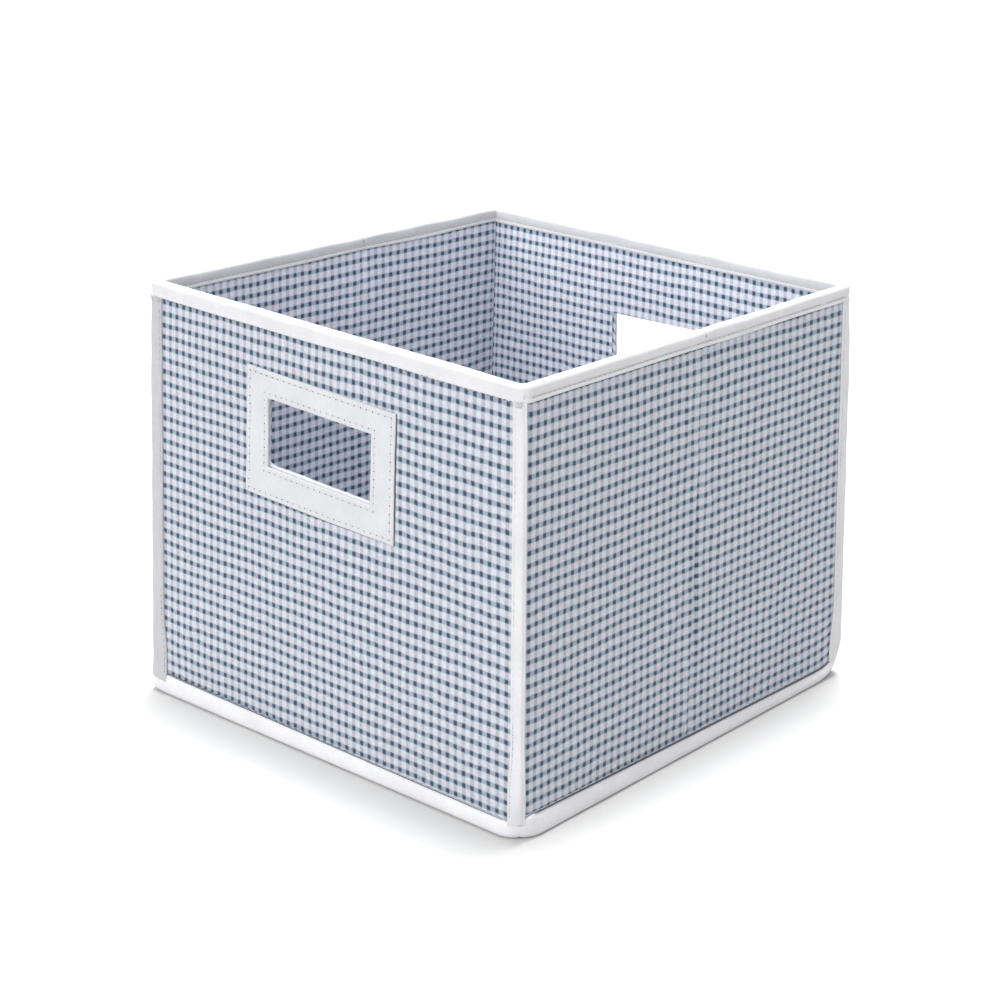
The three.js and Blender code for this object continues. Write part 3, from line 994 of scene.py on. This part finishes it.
def base_cloth():
    """The cloth under the insert, caught in the base band all round."""
    xs, ys = (stops(-reach, reach, step=6) for reach in BASE_REACH)
    x, y = np.meshgrid(xs, ys, indexing="ij")
    sag = 0.05 * BROAD["front"](x, y)
    top = settle(np.stack([x, y, 1.0 + sag], -1))
    under = settle(np.stack([x, y, 0.3 + sag], -1))
    shape = Shape()
    shape.slab(top, under, np.stack([x / END_CHECK[0], y / END_CHECK[1]], -1))
    return piece("base_cloth", shape, [FLOOR_CLOTH])


def insert_pad():
    """The loose floor of the bin: a thin board wrapped in gingham, with soft rounded edges."""
    low, high = (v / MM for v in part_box("insert_cover"))
    corner_radius, edge_radius = 9.0, 1.8
    steps = np.array([0, 0.35, 0.9, edge_radius])

    def lines(a, b):
        return np.concatenate([a + steps, spread(a + 4, b - 4, 5.0), b - steps[::-1]])

    x, y = np.meshgrid(lines(low.x, high.x), lines(low.y, high.y), indexing="ij")
    rx, ry = rounded(x, y, high.x, high.y, corner_radius)
    inside = np.minimum(high.x - np.abs(x), high.y - np.abs(y))
    edge = 1 - np.sqrt(np.clip(1 - (1 - np.clip(inside / edge_radius, 0, 1)) ** 2, 0, 1))
    middle = (low.z + high.z) / 2
    puff = 0.22 * BROAD["back"](x, y) * smooth(inside, 4, 40)
    puff = puff + 0.10 * FINE["back"](x, y) * smooth(inside, 3, 12)
    top_z = high.z - (high.z - middle) * 0.9 * edge + puff
    low_z = low.z - 0.1 + (middle - low.z) * 0.9 * edge
    shape = Shape()
    uvs = np.stack([x / END_CHECK[0] + 0.3, y / END_CHECK[1]], -1)
    shape.slab(np.stack([rx, ry, top_z], -1), np.stack([rx, ry, low_z], -1), uvs)
    return piece("insert_pad", shape, [FLOOR_CLOTH])


def handle_frame(wall):
    """The flat tape frame sewn round a hand window, with two rows of stitches."""
    low, high = (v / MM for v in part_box(f"{wall}_handle_frame"))
    f0, f1, g0, g1 = low.x, high.x, low.z, high.z
    c0, c1, z0, z1 = window(wall)
    edge = np.array([0.0, 0.3, 0.8])

    def lines(a0, b0, b1, a1):
        return np.concatenate([
            a0 + edge, stops(a0 + 2.2, b0 - 2.2, step=1.5), b0 - edge[::-1],
            stops(b0 + 1.0, b1 - 1.0, step=3.0),
            b1 + edge, stops(b1 + 2.2, a1 - 2.2, step=1.5), a1 - edge[::-1],
        ])

    cs, zs = lines(f0, c0, c1, f1), lines(g0, z0, z1, g1)
    c, z = np.meshgrid(cs, zs, indexing="ij")
    from_outer = np.minimum(np.minimum(c - f0, f1 - c), np.minimum(z - g0, g1 - z))
    to_hole = np.maximum(np.maximum(c0 - c, c - c1), np.maximum(z0 - z, z - z1))
    from_edge = np.minimum(from_outer, np.maximum(to_hole, 0))
    seam = 3.0
    rise = 0.95 + 0.45 * np.sqrt(np.clip(from_edge / 0.8, 0, 1))
    for away in (from_outer, to_hole):
        rise = rise - 0.30 * np.exp(-(((away - seam) / 0.9) ** 2))
    rise = rise + 0.10 * FINE["left"](c, z)
    tc, tz = tilted(wall, c, z)
    lift = relief(wall, "cover", tc, tz)
    top = on_wall(wall, tc, tz, rise + np.maximum(lift, 0) * 0.8)
    under = on_wall(wall, tc, tz, 0.15 + np.minimum(lift, 0))
    shape = Shape()
    shape.slab(top, under, np.zeros(c.shape + (2,)), outside(cs, zs, c0, c1, z0, z1))
    frame_seam(shape, wall, f0 + seam, f1 - seam, g0 + seam, g1 - seam)
    frame_seam(shape, wall, c0 - seam, c1 + seam, z0 - seam, z1 + seam)
    # a dark thread along the frame's right and lower edges: painted shadow where the frame stands off the
    # cloth
    right_c = f1 + 0.25 if wall == "front" else f0 - 0.25
    for ec, ez in (
        (np.full(24, right_c), np.linspace(g0, g1, 24)),
        (np.linspace(f0 + 20, f1, 30), np.full(30, g0 - 0.25)),
    ):
        ec, ez = tilted(wall, ec, ez)
        lift = relief(wall, "cover", ec, ez)
        shape.thread(on_wall(wall, ec, ez, 0.3 + lift), 0.42, slot=2)
    return piece(f"{wall}_frame_tape", shape, [FRAME_TAPE, THREAD, SHADE_THREAD])


def frame_seam(shape, wall, a0, a1, b0, b1):
    """One row of stitches round the frame: a pale stitch, then a needle hole painted dark as shade."""
    pitch = 5.0
    corners = [(a0, b0), (a1, b0), (a1, b1), (a0, b1)]
    for (ca, za), (cb, zb) in zip(corners, corners[1:] + corners[:1]):
        count = int(round(math.hypot(cb - ca, zb - za) / pitch))
        for k in range(count):
            stitch = np.linspace(k + 0.14, k + 0.86, 4)
            hole = np.array([-0.075, 0.0, 0.075]) + k
            for t, rise, radius, slot in ((stitch, 1.18, 0.22, 1), (hole, 1.24, 0.56, 2)):
                c, z = tilted(wall, ca + (cb - ca) * t / count, za + (zb - za) * t / count)
                lift = np.maximum(relief(wall, "cover", c, z), 0) * 0.8
                shape.thread(on_wall(wall, c, z, rise + lift), radius, slot=slot)


# ---------------------------------------------------------------- the assembly

def bend_corner(obj, end, side):
    """Cloth or tape round an upright hinge corner: its transform is baked into its mesh.

    The rear left corner is left open, so its cloth rides the back wall, with a mesh of its own."""
    if (end, side) == ("back", "left"):
        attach(obj, "back_wall")
        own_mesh(obj)
        return
    if (end, side) == ("back", "right"):
        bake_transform(obj)
    else:
        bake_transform(obj)


def bend_crease(obj):
    """Cloth or tape over a side wall's crease: its transform is baked into its mesh."""
    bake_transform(obj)


def seam_at(end, side):
    """How far from a side wall's middle its cloth is seamed to the corner's."""
    return OPEN_CORNER_SEAM if (end, side) == ("back", "left") else CORNER_SEAM


def end_wall(wall, body):
    """The front or the back: two cloths, their board, the window's edge, its frame and the rim."""
    c0, c1, z0, z1 = window(wall)
    gap = 1.5
    beside = gap + WINDOW_SPLAY[wall]
    hole = (c0 - beside, c1 + beside, z0 - gap, z1 + gap)
    panel = board(f"{wall}_stiffener", wall, -HALF_X + 6, HALF_X - 6, hole)
    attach(panel, body)
    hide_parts(f"{wall}_board")
    for face, word, node in CLOTHS:
        cloth = windowed(f"{wall}_{word}", wall, face)
        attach(cloth, body)
        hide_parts(f"{wall}_{node}")
    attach(window_edge(wall), body)
    tape = handle_frame(wall)
    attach(tape, body)
    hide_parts(f"{wall}_handle_frame")
    y = -1 if wall == "front" else 1
    turn = CORNER_BEND[0] + 0.5
    top = rim(f"{wall}_rim_tape", [
        ("left", y * turn, y * HALF_Y), (wall, -HALF_X, HALF_X), ("right", y * HALF_Y, y * turn),
    ])
    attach(top, body)
    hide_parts(f"{wall}_rim_binding")


def open_hem(side):
    """The cloth that closes the free end of a side wall where it is not hinged to the back."""
    z = stops(13.0, CURL_TOP, WALL_TOP - 1, step=6.0)
    c, z = np.meshgrid(np.array([OPEN_CORNER_SEAM - 0.7, OPEN_CORNER_SEAM]), z, indexing="ij")
    rings = [on_wall(side, c, z, d) for d in (-0.35, LINING_FACE + 0.35)]
    shape = Shape()
    points = np.stack([rings[0][0], rings[0][1], rings[1][1], rings[1][0]], 1)
    shape.loft(points, np.stack([checks(side, 0 * z[0] + k, z[0]) for k in (0, 0.7, 5, 5.7)], 1))
    hem = piece(f"{side}_open_hem", shape, [GINGHAM])
    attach(hem, f"{side}_rear_half")


def side_wall(side):
    """A side: a cover, a lining and a rim tape, creased at the middle, over two boards."""
    inner, outer = 3.4, 139.5
    for half, a, b in (("front", -outer, -inner), ("rear", inner, outer)):
        panel = board(f"{side}_{half}_stiffener", side, a, b)
        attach(panel, f"{side}_{half}_half")
        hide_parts(f"{side}_{half}_board")
    front_seam, rear_seam = -seam_at("front", side), seam_at("back", side)
    # fine columns over the crease that is drawn and the one that bends, and coarse ones beside them
    fine_from = min(0.0, *CREASE_AT[side]) - 9
    fine_to = max(0.0, *CREASE_AT[side]) + 9
    cs = np.unique(np.round(np.concatenate([
        spread(front_seam, fine_from, 2.6),
        spread(fine_from, fine_to, 0.7),
        spread(fine_to, rear_seam, 2.6),
    ]), 4))
    zs = stops(CLOTH_FOOT, CURL_TOP, WALL_TOP, step=3.0)
    for face, word, node in CLOTHS:
        cloth = sheet(f"{side}_{word}", side, face, cs, zs)
        bend_crease(cloth)
        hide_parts(f"{side}_front_{node}", f"{side}_rear_{node}")
    if side == "left":
        open_hem(side)
    top = rim(f"{side}_rim_tape", [(side, front_seam, rear_seam)], tack=side)
    bend_crease(top)
    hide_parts(f"{side}_front_rim_binding", f"{side}_rear_rim_binding")


def corner(end, side):
    """An upright corner: the cloth hinge inside and out, its rim tape and the corner tape."""
    y = -1 if end == "front" else 1
    word = "front" if end == "front" else "rear"
    seam = y * seam_at(end, side)
    zs = stops(CLOTH_FOOT, CURL_TOP, WALL_TOP, step=3.0)
    cs = np.sort(stops(seam, y * 141, y * 146, y * HALF_Y, step=1.2))
    for face in ("cover", "lining"):
        strip = sheet(f"corner_{face}_{word}_{side}", side, face, cs, zs)
        bend_corner(strip, end, side)
        if face == "lining":
            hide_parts(f"hinge_fabric_{word}_{side}")
    a, b = sorted((seam, y * (CORNER_BEND[0] + 0.5)))
    top = rim(f"rim_hinge_{word}_{side}", [(side, a, b)])
    bend_corner(top, end, side)
    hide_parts(f"rim_corner_{word}_{side}")
    widths = WIDE_TAPE if (end, side) in (("front", "left"), ("back", "right")) else NARROW_TAPE
    tape = corner_tape(f"corner_tape_{word}_{side}", end, side, *widths)
    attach(tape, "front_and_base" if end == "front" else "back_wall")
    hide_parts(f"corner_binding_{word}_{side}")


def base():
    """The band, the cloth under the bin, and the loose insert."""
    band = base_band()
    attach(band, "front_and_base")
    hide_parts("base_binding")
    cloth = base_cloth()
    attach(cloth, "front_and_base")
    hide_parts("base_fabric")
    for obj in (band, cloth):
        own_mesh(obj)
    pad = insert_pad()
    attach(pad, "insert")
    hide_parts("insert_cover")
    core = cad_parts["insert_board"]
    core.data.materials.clear()
    core.data.materials.append(BOARD)


def studio():
    """A grey floor under an even white sky, with a sun nearly overhead and a broad, weaker one in front."""
    bpy.ops.mesh.primitive_circle_add(vertices=96, radius=16, fill_type="NGON", location=(0, 0, -0.0004))
    floor = bpy.context.object
    floor.name = "floor"
    n = Nodes("floor_paper")
    spot = n.node("ShaderNodeTexCoord").outputs["Object"]
    grain = n.noise(spot, 30.0, 2.0)[0]
    n.link(n.mix(grain, (0.49, 0.49, 0.49, 1), (0.51, 0.51, 0.51, 1)), n.shader.inputs["Base Color"])
    n.shader.inputs["Roughness"].default_value = 0.9
    n.shader.inputs["Specular IOR Level"].default_value = 0.1
    floor.data.materials.append(n.material)

    world = bpy.data.worlds.new("studio")
    world.use_nodes = True
    sky = world.node_tree.nodes["Background"]
    sky.inputs["Color"].default_value = (1, 1, 1, 1)
    sky.inputs["Strength"].default_value = 1.0
    bpy.context.scene.world = world

    for name, toward, degrees, strength in (
        ("overhead", (-0.06, 0.14, 1.0), 17, 4.2),
        ("front", (0.06, -0.88, 0.45), 60, 2.1),
    ):
        data = bpy.data.lights.new(name, "SUN")
        data.angle = math.radians(degrees)
        data.energy = strength
        lamp = bpy.data.objects.new(name, data)
        bpy.context.scene.collection.objects.link(lamp)
        lamp.rotation_euler = Vector(toward).to_track_quat("Z", "Y").to_euler()

    bpy.context.scene.view_settings.view_transform = "Standard"


camera()
end_wall("front", "front_and_base")
end_wall("back", "back_wall")
for side_name in ("right", "left"):
    side_wall(side_name)
    for end_name in ("front", "back"):
        corner(end_name, side_name)
base()
studio()
